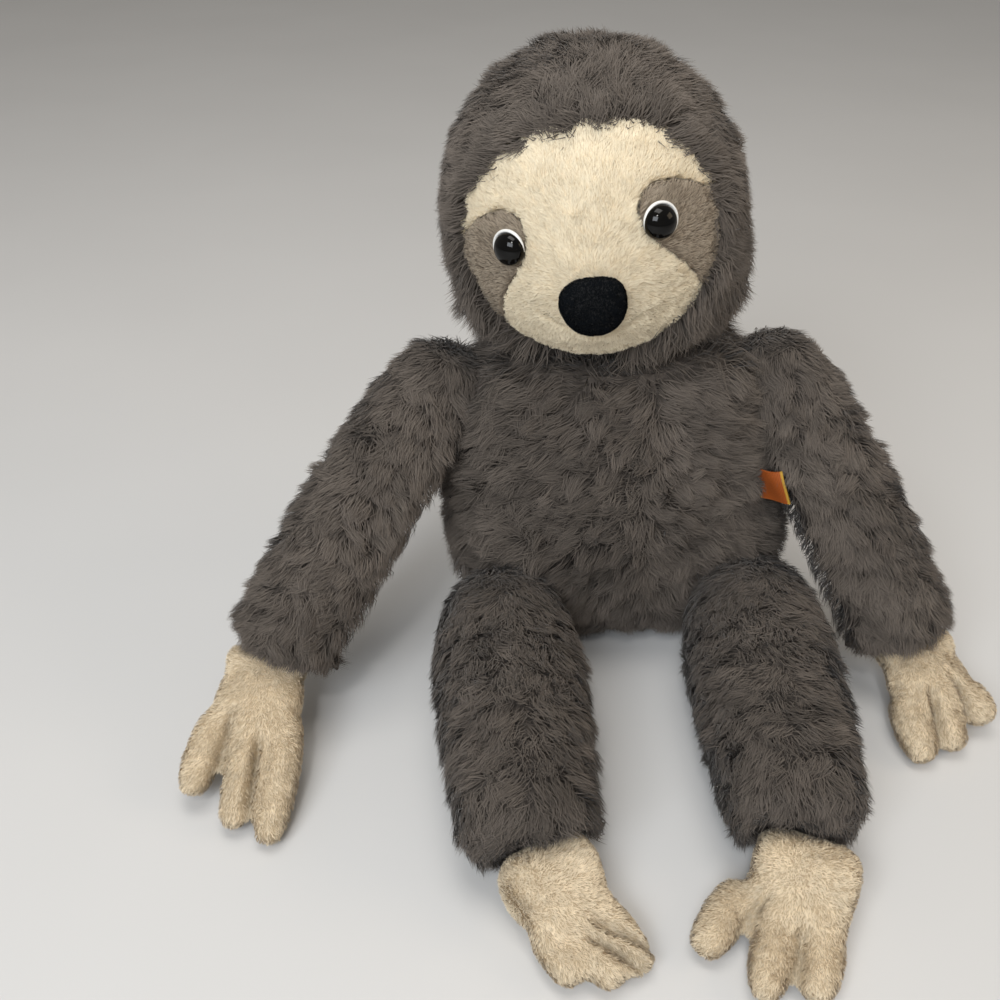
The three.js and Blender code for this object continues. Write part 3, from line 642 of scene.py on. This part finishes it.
# %% Eyes
dome_share, dome_aside, dome_height = 0.91, 0.0007, 0.78
ring_half_height = 0.00075
eye_pieces = {}
for side in sides:
    middle, axis, radius = axis_of(f"eye_ring_{side}", head_middle)
    rim = radius * dome_share
    dome = [(0, -0.001), (rim * 0.97, -0.001)]
    dome += [(rim * math.sin(t), rim * dome_height * math.cos(t) + 0.0003)
             for t in np.linspace(math.pi / 2, 0, 14)]
    lip = radius - rim * 0.9
    ring = [(rim * 0.9 + lip * (0.5 + 0.5 * math.cos(t)), ring_half_height * math.sin(t))
            for t in np.linspace(0, math.tau, 15)]
    inner = (nose_middle - middle).normalized()
    inner = (inner - axis * inner.dot(axis)).normalized()
    eye_pieces[f"eye_dome_{side}"] = turned(f"dome_{side}", dome,
                                            middle + inner * dome_aside, axis)
    eye_pieces[f"eye_ring_{side}"] = turned(f"ring_{side}", ring, middle, axis)
    print(side, "eye radius", round(radius * 1000, 2), "mm")

# %% Finishes of the eyes and the parts inside
dome_finish = Finish("eye_gloss", Roughness=0.08, Coat_Weight=0.10, Coat_Roughness=0.03,
                     Specular_IOR_Level=0.18)
dome_finish.paint(Base_Color=dome_finish.ramp(
    dome_finish.noise(160, 2.0),
    [(0.35, (0.001, 0.001, 0.0012)), (0.75, (0.003, 0.0025, 0.002))]))

def moulded_finish(name, rough, grain, dark, light):
    """White moulded plastic with a faint grain."""
    finish = Finish(name, Roughness=rough)
    speckle = finish.noise(grain, 3.0)
    finish.paint(Base_Color=finish.ramp(speckle, [(0.3, dark), (0.7, light)]),
                 Normal=finish.bump(speckle, 0.0001))
    return finish

ring_finish = moulded_finish("white_ring", 0.45, 2400, (0.72, 0.71, 0.68), (0.86, 0.85, 0.82))
washer_finish = moulded_finish("matte_washer", 0.6, 1500, (0.66, 0.66, 0.64), (0.78, 0.78, 0.76))
pouch_finish = Finish("bean_pouch_weave", Roughness=0.85)
warp = pouch_finish.node("ShaderNodeTexWave", {"wave_type": "BANDS"},
                         Vector=pouch_finish.object_place(), Scale=420)
pouch_finish.paint(Base_Color=pouch_finish.ramp(
    warp, [(0.2, (0.55, 0.52, 0.46)), (0.8, (0.70, 0.67, 0.60))]),
    Normal=pouch_finish.bump(warp, 0.0003))

def dressed(piece, finish):
    material = finish.material if isinstance(finish, Finish) else finish
    piece.data.materials.clear()
    piece.data.materials.append(material)

for side in sides:
    dressed(frame["nodes"][f"eye_washer_{side}"], washer_finish)
dressed(frame["nodes"]["seat_bean_pouch"], pouch_finish)
print("eyes finished")

# %% [markdown]
# The label is a folded satin ribbon, sewn into the flank seam. It starts as a plane of
# fine squares, is curled a little, given a thickness, and laid where the CAD label is,
# with its inner edge sunk into the fur. Its weave is fine ribs along and across, and its
# selvedge is a paler thread.

# %% Label
label_aside, label_sunk = 0.003, 0.0062
label_points = np.array([v.co for v in frame["nodes"]["side_label"].data.vertices])
label_middle = label_points.mean(0)
vectors = np.linalg.eigh(np.cov((label_points - label_middle).T))[1]
label_out, label_across, label_along = (Vector(vectors[:, i]) for i in range(3))
if label_out.y > 0:
    label_out = -label_out
if label_along.z < 0:
    label_along = -label_along
label_across = label_along.cross(label_out)
label_wide, label_high = (float(np.ptp(label_points @ np.array(v)))
                          for v in (label_across, label_along))
bpy.ops.mesh.primitive_grid_add(x_subdivisions=24, y_subdivisions=34, size=1)
label = bpy.context.object
label.name = "woven_label"
flat = points_of(label)
curl = 0.0011 * np.sin(flat[:, 1] * 3.0) + 0.0008 * np.sin(flat[:, 0] * 5 + flat[:, 1] * 2)
label_basis = np.array([label_across, label_along, label_out])
outer = np.sign(label_across.x)
inner_edge = np.clip(0.5 - flat[:, 0] * outer, 0, 1)
put_points(label, label_middle + np.column_stack(
    [flat[:, 0] * label_wide + label_aside * outer, flat[:, 1] * label_high,
     curl - label_sunk * inner_edge ** 1.5]) @ label_basis)
applied(label, "SOLIDIFY", thickness=0.0007, offset=0)
label.data.uv_layers[0].name = "OFBake"
label_finish = Finish("woven_label_satin", Roughness=0.42)
u, v = label_finish.sheet_place()
weave = (u * 138).alone("SINE") * 0.25 + (v * 214).alone("SINE") * 0.25 + 0.5
off_middle = (u - 0.5).alone("ABSOLUTE")
selvedge = off_middle.math("GREATER_THAN", off_middle, 0.43)
body_tone = label_finish.ramp(weave, [(0.1, (0.30, 0.060, 0.012)), (0.9, (0.52, 0.13, 0.022))])
thread = label_finish.ramp(weave, [(0.1, (0.45, 0.25, 0.03)), (0.9, (0.72, 0.42, 0.06))])
label_finish.paint(Base_Color=label_finish.blend(selvedge, body_tone, thread),
                   Normal=label_finish.bump(weave, 0.0002))
print("label", round(label_wide * 1000, 1), "x", round(label_high * 1000, 1), "mm")

# %% [markdown]
# Now the fur. On the real cloth each strand is a fibre thinner than a hair, which no
# model can afford, and Blender's hair isn't kept by the export. So a strand here
# stands for a lock of fibres: a ribbon less than half a millimetre wide, two steps long
# and closed to a point, which bends from standing at its root to lying at its tip.

# %% Where the strands stand
def scatter(skin, count, density, rng):
    """Random places on a skin with their normals, more where density is greater."""
    mesh = skin.data
    mesh.calc_loop_triangles()
    corners = np.empty(len(mesh.loop_triangles) * 3, dtype=np.int32)
    mesh.loop_triangles.foreach_get("vertices", corners)
    corners = corners.reshape(-1, 3)
    places = points_of(skin)
    normals = np.empty(len(places) * 3)
    mesh.vertices.foreach_get("normal", normals)
    normals = normals.reshape(-1, 3)
    a, b, c = (places[corners[:, i]] for i in range(3))
    area = np.linalg.norm(np.cross(b - a, c - a), axis=1) / 2
    weight = area * density((a + b + c) / 3, unit(normals[corners].sum(1)))
    pick = np.searchsorted(np.cumsum(weight), rng.random(count) * weight.sum())
    pick = np.minimum(pick, len(corners) - 1)
    s, t = rng.random((2, count))
    fold = s + t > 1
    s[fold], t[fold] = 1 - s[fold], 1 - t[fold]
    share = np.stack([1 - s - t, s, t], 1)[:, :, None]
    spot = (places[corners[pick]] * share).sum(1)
    normal = unit((normals[corners[pick]] * share).sum(1))
    return spot, normal, float(weight.sum())

def all_over(p, n=None):
    """One everywhere: an even density, or no change."""
    return np.ones(len(p))

def ripple(p, size, seed):
    """A smooth field from -1 to 1 with swells about one size across."""
    rng = np.random.default_rng(seed)
    total = np.zeros(len(p))
    for _ in range(5):
        heading = unit(rng.normal(size=3)[None])[0] * (math.tau / size) * rng.uniform(0.6, 1.5)
        total += np.sin(p @ heading + rng.uniform(0, math.tau))
    return np.clip(total / 3, -1, 1)

# %% [markdown]
# Fibres cling together, so each strand leans to the nearest guide and ends close to
# the guide's tip. Guides sway each in its own way, which gives the wavy tufts and the
# dark partings of the real pile. All of it is drawn from seeded numbers. A look may
# also say where its fur is longer, where it lies flat and where shade is painted on it.

# %% Growing a coat
def grow(name, skin, count, look, comb, density, finish, seed):
    rng = np.random.default_rng(seed)
    spot, normal, area = scatter(skin, count, density, rng)
    lie = comb(spot, normal) + 0.35 * look["stray"] * rng.normal(size=(count, 3))
    lie = unit(lie - normal * (lie * normal).sum(1, keepdims=True))
    across = np.cross(normal, lie)
    guides = rng.choice(count, max(8, int(area / look["lock"] ** 2)), replace=False)
    tree = KDTree(len(guides))
    for number, guide in enumerate(guides):
        tree.insert(spot[guide], number)
    tree.balance()
    asked = spot + rng.normal(size=(count, 3)) * look["lock"] * 0.22
    lock = np.array([tree.find(p)[1] for p in asked])
    sway = rng.normal(size=len(guides)) * look["sway"]
    phase = rng.uniform(0, math.tau, len(guides))
    stand = rng.normal(size=len(guides)) * look["tumble"]
    long = look["length"] * rng.uniform(0.82, 1.12, count) * look.get("longer", all_over)(spot)
    upright = look.get("upright", all_over)(spot)
    steps = look["steps"]
    path = [spot]
    for k, share in enumerate(steps):
        rise = upright * np.radians(look["lift"][k] + stand[lock]
                                    + rng.normal(size=count) * 6 * look["stray"])
        heading = normal * np.sin(rise)[:, None] + lie * np.cos(rise)[:, None]
        heading += across * (sway[lock] * np.sin(phase[lock] + 1.9 * k))[:, None]
        heading += rng.normal(size=(count, 3)) * 0.10 * look["stray"]
        path.append(path[-1] + unit(heading) * (long * share)[:, None])
    path = np.stack(path, 1)
    along = np.concatenate([[0], np.cumsum(steps)])
    cling = look["draw"] * rng.uniform(0.6, 1.15, count)
    pull = (along ** 1.3)[None, :, None] * cling[:, None, None]
    path = path + (path[guides][lock] - path) * np.clip(pull, 0, 0.95)
    return ribbons(name, path, normal, long, along, look, lock, finish, rng)

# %% [markdown]
# Each strand's ribbon is turned so that its face looks out of the fur, give or take a
# random roll, and carries the skin's own normal, mostly. That shades the coat as one
# soft body instead of as thousands of little blades. No corner sinks into the table.

# %% Ribbons as one mesh
table_gap = 0.0004

def ribbons(name, path, normal, long, along, look, lock, finish, rng):
    count, rows = path.shape[:2]
    forward = unit(path[:, -1] - path[:, 0])
    side = unit(np.cross(normal, forward))
    roll = rng.normal(size=count) * 0.5
    side = side * np.cos(roll)[:, None] + np.cross(forward, side) * np.sin(roll)[:, None]
    half = look["width"] / 2 * np.array(look["taper"])
    corners = []
    for k in range(rows - 1):
        corners += [path[:, k] - side * half[k], path[:, k] + side * half[k]]
    corners.append(path[:, -1])
    corners = np.stack(corners, 1)
    corners[..., 2] = np.maximum(corners[..., 2], table_gap)
    per = corners.shape[1]
    quads = [(2 * k, 2 * k + 2, 2 * k + 3, 2 * k + 1) for k in range(rows - 2)]
    last = 2 * (rows - 2)
    loop = np.array([i for q in quads for i in q] + [last, last + 2, last + 1])
    starts = np.array([4 * k for k in range(rows - 1)])
    loops = (np.arange(count)[:, None] * per + loop).ravel()
    mesh = bpy.data.meshes.new(name)
    mesh.vertices.add(count * per)
    mesh.vertices.foreach_set("co", corners.astype(np.float32).ravel())
    mesh.loops.add(len(loops))
    mesh.loops.foreach_set("vertex_index", loops.astype(np.int32))
    mesh.polygons.add(count * (rows - 1))
    mesh.polygons.foreach_set(
        "loop_start", (np.arange(count)[:, None] * len(loop) + starts).ravel().astype(np.int32))
    spots = path[:, 0]
    shade = 0.5 + 0.12 * ripple(spots, 0.045, 5) + 0.08 * ripple(spots, 0.012, 6)
    shade += rng.normal(size=lock.max() + 1)[lock] * look["patchy"]
    shade += rng.normal(size=count) * 0.09
    # Painted shade: where a look asks for it, strands are coloured darker, as deep in the
    # mittens' grooves.
    if "painted_shade" in look:
        shade -= look["painted_shade"](spots)
    shade = np.clip(shade, 0.03, 0.97)
    rise = 0.02 + 0.96 * along
    sheet = []
    for k in range(rows - 1):
        sheet += [(-0.002, rise[k]), (0.002, rise[k])]
    sheet.append((0, rise[-1]))
    sheet = np.array(sheet)
    uv = np.empty((count, per, 2))
    uv[..., 0] = shade[:, None] + sheet[:, 0]
    uv[..., 1] = sheet[:, 1]
    layer = mesh.uv_layers.new(name="OFBake")
    layer.data.foreach_set("uv", uv[:, loop].astype(np.float32).ravel())
    mesh.update(calc_edges=True)
    piece = bpy.data.objects.new(name, mesh)
    scene.collection.objects.link(piece)
    for_shade = unit(normal - forward * (normal * forward).sum(1, keepdims=True) * 0.6)
    for_shade = unit(for_shade + rng.normal(size=(count, 3)) * 0.12)
    mesh.shade_smooth()
    mesh.normals_split_custom_set_from_vertices(np.repeat(for_shade, per, axis=0))
    mesh.materials.append(finish)
    print(name, count, "strands", len(mesh.polygons), "faces")
    return piece

# %% [markdown]
# The combing follows the real toy. From the seam down its front the fur sweeps
# outwards and down. On the head it runs round the face from the crown and falls
# straight at the back and below. On the limbs it runs towards the cuffs, parted along
# the top, and hangs over the wrist or the ankle.

# %% Combing
def comb_torso(p, n):
    aside = p[:, 0] - front_seam_x
    outward = np.sign(aside) * np.clip(np.abs(aside) / 0.012, 0.2, 1)
    low = np.clip((0.075 - p[:, 2]) / 0.06, 0, 1)
    turn = 0.55 * ripple(p, 0.05, 21)
    lie = np.zeros_like(p)
    lie[:, 0] = outward * (1.0 - 0.75 * low) + turn * 0.6
    lie[:, 2] = -0.35 - 0.75 * low + turn * 0.4
    return lie

def head_place(p):
    """Where points lie on the head: across, up and out, with the ways across and up."""
    across = np.array(Vector((0, 0, 1)).cross(face_out).normalized())
    upward = np.cross(np.array(face_out), across)
    if upward[2] < 0:
        upward, across = -upward, -across
    offset = p - np.array(head_middle)
    a, u, f = offset @ across, offset @ upward, offset @ np.array(face_out)
    return a, u, f, across, upward

def comb_head(p, n):
    a, u, f, across, upward = head_place(p)
    size = np.maximum(np.hypot(a, u), 1e-6)[:, None]
    side_way = np.clip(a / 0.024 + 0.5 * ripple(p, 0.03, 33), -1, 1)[:, None]
    radial = (a[:, None] * across + u[:, None] * upward) / size
    round_way = side_way * (u[:, None] * across - a[:, None] * upward) / size
    low = smooth((-u - 0.004) / 0.03)[:, None]
    back = smooth((0.012 - f) / 0.03)[:, None]
    down = np.array([0, 0, -1.0])
    lie = round_way * (1 - low) * (1 - back) + down * (low + back)
    lie = lie + radial * 0.35 * (1 - back) - np.array(face_out) * 0.25 * (1 - back)
    return lie + 0.45 * np.cross(n, lie) * ripple(p, 0.03, 31)[:, None]

def comb_limb(root, tip, parting):
    heading = np.array((tip - root).normalized())
    aside = unit(np.cross(heading, [0, 0, 1.0]))
    def comb(p, n):
        lie = np.tile(heading, (len(p), 1))
        offset = (p - np.array(root)) @ aside
        lie += parting * np.outer(np.clip(offset / 0.012, -1, 1), aside)
        lie[:, 2] -= 0.25
        return lie + 0.55 * np.cross(n, heading) * ripple(p, 0.04, 41)[:, None]
    return comb

fur_look = dict(length=0.0114, width=0.00044, lift=(56, 22), steps=(0.52, 0.48),
                taper=(1.0, 0.85), lock=0.0050, sway=0.55, draw=0.52, stray=1.2,
                tumble=11, patchy=0.09)
leg_look = dict(fur_look, length=0.0106, lift=(46, 18), draw=0.46, tumble=9)
pile_look = dict(length=0.0026, width=0.00028, lift=(28, 10), steps=(0.55, 0.45),
                 taper=(1.0, 0.8), lock=0.0022, sway=0.25, draw=0.35, stray=0.9,
                 tumble=9, patchy=0.07)

# %% Fur on the torso
def torso_fur_density(part):
    def density(p, n):
        keep = {"front_right": (p[:, 1] < flank_y) & (p[:, 0] < front_seam_x),
                "front_left": (p[:, 1] < flank_y) & (p[:, 0] >= front_seam_x),
                "back": p[:, 1] >= flank_y}[part]
        sat_on, under_hood = n[:, 2] < -0.75, p[:, 2] > 0.148
        seen = 1 - 0.75 * sat_on - 0.75 * under_hood
        return keep * np.clip(seen, 0.15, 1)
    return density

coats = []
def coat(piece, body):
    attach(piece, body)
    coats.append(piece)

strand_share = 1.0
def strands(full):
    return int(full * strand_share)

def longer_at_seams(p):
    """Longer fur where the arms and legs are sewn on, so that it closes over the seams."""
    share = np.zeros(len(p))
    for side in sides:
        deep, wide, _ = shoulder_place(p, side)
        at_shoulder = smooth((0.034 - np.abs(deep - 0.017)) / 0.02) * smooth((0.05 - wide) / 0.02)
        share = np.maximum(share, at_shoulder)
        at_hip = smooth((0.052 - np.linalg.norm(p - hip_roots[side], axis=1)) / 0.02)
        share = np.maximum(share, 0.8 * at_hip)
    return 1 + 0.45 * share

torso_look = dict(fur_look, longer=longer_at_seams, draw=0.62, tumble=13, patchy=0.12)
torso_counts = {"front_right": 30000, "front_left": 30000, "back": 48000}
for seed, (part, full) in enumerate(torso_counts.items()):
    coat(grow(f"fur_torso_{part}", skins["torso"], strands(full), torso_look, comb_torso,
              torso_fur_density(part), fur_finish, 100 + seed), "torso")

# %% [markdown]
# On the head the fur stops where the face panel is sewn in. A strand grows only where
# the nearest pattern piece is the hood, so the coat ends on the panel's own outline,
# and its last row hangs over the rim.

# %% Fur on the hood
def tree_of(nodes):
    points, faces = [], []
    for node in nodes:
        mesh = frame["nodes"][node].data
        start = len(points)
        points += [v.co.copy() for v in mesh.vertices]
        faces += [[i + start for i in polygon.vertices] for polygon in mesh.polygons]
    return BVHTree.FromPolygons(points, faces)

hood_tree = tree_of(["hood_left", "hood_right"])
face_tree = tree_of(["face_panel", "eye_patch_left", "eye_patch_right"])

def hood_density(want, tie=0.0002):
    """Fur on one side of the hood, where the cloth outside is the hood's or nearly so."""
    def density(p, n):
        out = p + n * fur_depth
        hood = np.array([hood_tree.find_nearest(Vector(q))[3] for q in out])
        face = np.array([face_tree.find_nearest(Vector(q))[3] for q in out])
        keep = (hood <= face + tie) & ((p[:, 0] - head_middle.x) * want >= 0)
        faces_down = n[:, 2] < -0.8
        return keep * np.where(faces_down, 0.4, 1.0)
    return density

def hanging(p):
    """Longer fur low on the hood, over the shoulders, and a little longer round the face."""
    _, u, f, _, _ = head_place(p)
    low, rim = smooth((0.010 - u) / 0.04), smooth((f - 0.010) / 0.02)
    return 1 + 0.65 * low + 0.18 * rim

hood_look = dict(fur_look, longer=hanging, sway=0.42, draw=0.46, tumble=9, patchy=0.07)
for side, sign in sides.items():
    coat(grow(f"fur_hood_{side}", skins["head"], strands(48000), hood_look, comb_head,
              hood_density(sign), fur_finish, 120 + sign), "head")

# %% Fur on the arms and the legs
def seam_density(side):
    """Hardly any fur on the arm's flat root, which is sewn against the torso."""
    def density(p, n):
        deep, _, inward = shoulder_place(p, side)
        return 1 - 0.9 * smooth((n @ inward - 0.35) / 0.35) * smooth((deep - 0.002) / 0.006)
    return density

def flat_at_root(root, tip):
    """Fur that lies flatter where a limb is sewn on, which hides its root."""
    pivot = np.array(root)
    away = unit(np.array(tip) - pivot)
    def upright(p):
        return 1 - 0.55 * smooth((0.012 - (p - pivot) @ away) / 0.02)
    return upright

limbs = (("arm", "shoulder", "wrist", 42000, 0.15, fur_look, 164),
         ("leg", "hip", "ankle", 50000, 0.5, leg_look, 149))
for side, sign in sides.items():
    for limb, start, end, full, parting, look, seed in limbs:
        root, tip = joint_at[f"{start}_{side}"], joint_at[f"{end}_{side}"]
        look = dict(look, upright=flat_at_root(root, tip))
        density = seam_density(side) if limb == "arm" else all_over
        coat(grow(f"fur_{limb}_{side}", skins[f"{limb}_{side}"], strands(full), look,
                  comb_limb(root, tip, parting), density, fur_finish, seed + sign),
             f"{limb}_{side}")

# %% [markdown]
# The pile on the hands, the feet and the face is the same idea, shorter and denser.
# On the face it radiates from the nose, and on the hands and feet it runs towards the
# tips, with shade painted darker into its colour in the grooves.

# %% Pile on the hands, the feet, the face and the nose
def comb_from(point):
    def comb(p, n):
        lie = unit(p - np.array(point))
        return lie + 0.35 * np.cross(n, lie) * ripple(p, 0.02, 51)[:, None]
    return comb

def facing(direction, least):
    away = np.array(direction)
    def density(p, n):
        return (n @ away > least) * 1.0
    return density

# Painted shade in the grooves: pile deep in a groove is coloured darker, standing in for the
# shade there.
def painted_groove_shade(plan):
    return lambda p: 0.45 * groove_share(p, plan)

for side, sign in sides.items():
    for end, start, full in (("hand", "wrist", 24000), ("foot", "ankle", 28000)):
        comb = comb_from(joint_at[f"{start}_{side}"])
        look = dict(pile_look, length=0.0022, lift=(40, 16),
                    painted_shade=painted_groove_shade(mittens[f"{end}_{side}"]))
        coat(grow(f"pile_{end}_{side}", skins[f"{end}_{side}"], strands(full), look, comb,
                  all_over, mitten_finish, 160 + sign), f"{end}_{side}")
    coat(grow(f"pile_patch_{side}", patch_skins[side], strands(5500), pile_look,
              comb_from(nose_middle), facing(face_out, -0.2), patch_finish, 170 + sign),
         "head")
coat(grow("pile_face", face_skin, strands(46000), pile_look, comb_from(nose_middle),
          facing(face_out, -0.2), pile_finish, 180), "head")
nose_look = dict(pile_look, length=0.0007, width=0.0002, lift=(70, 50), steps=(0.5, 0.5))
coat(grow("velvet_nose", nose_skin, strands(14000), nose_look, comb_from(nose_middle),
          facing(face_out, -0.6), velvet_finish, 190), "head")

# %% [markdown]
# Last, every piece gets its finish and is attached to the body that carries it, and
# the CAD nodes it stands for are hidden.

# %% Bodies, finishes and hidden nodes
def stands_for(piece, body, nodes, cloth):
    dressed(piece, cloth)
    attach(piece, body)
    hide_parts(*nodes)

stands_for(skins["torso"], "torso", torso_nodes, fur_backing_with_painted_shade)
stands_for(skins["head"], "head", ["hood_left", "hood_right", "head_stuffing"],
           fur_backing_with_painted_shade)
stands_for(face_skin, "head", ["face_panel"], pile_cloth)
stands_for(nose_skin, "head", ["nose_pad"], nose_cloth)
stands_for(label, "torso", ["side_label"], label_finish)
for side in sides:
    stands_for(patch_skins[side], "head", [f"eye_patch_{side}"], patch_cloth)
    for part, slot, finish in (("eye_dome", "eye", dome_finish),
                               ("eye_ring", "eye_ring", ring_finish)):
        stands_for(eye_pieces[f"{part}_{side}"], "head", [f"{part}_{side}"], finish)
    for part in ("arm", "leg"):
        stands_for(skins[f"{part}_{side}"], f"{part}_{side}",
                   [f"{part}_sleeve_{side}", f"{part}_stuffing_{side}"], fur_backing_with_painted_shade)
    for part in ("hand", "foot"):
        stands_for(skins[f"{part}_{side}"], f"{part}_{side}",
                   [f"{part}_{side}", f"{part}_stuffing_{side}"], mitten_cloth)

# %% Sizes and finish
print("strands:", sum(len(p.data.polygons) // 2 for p in coats))
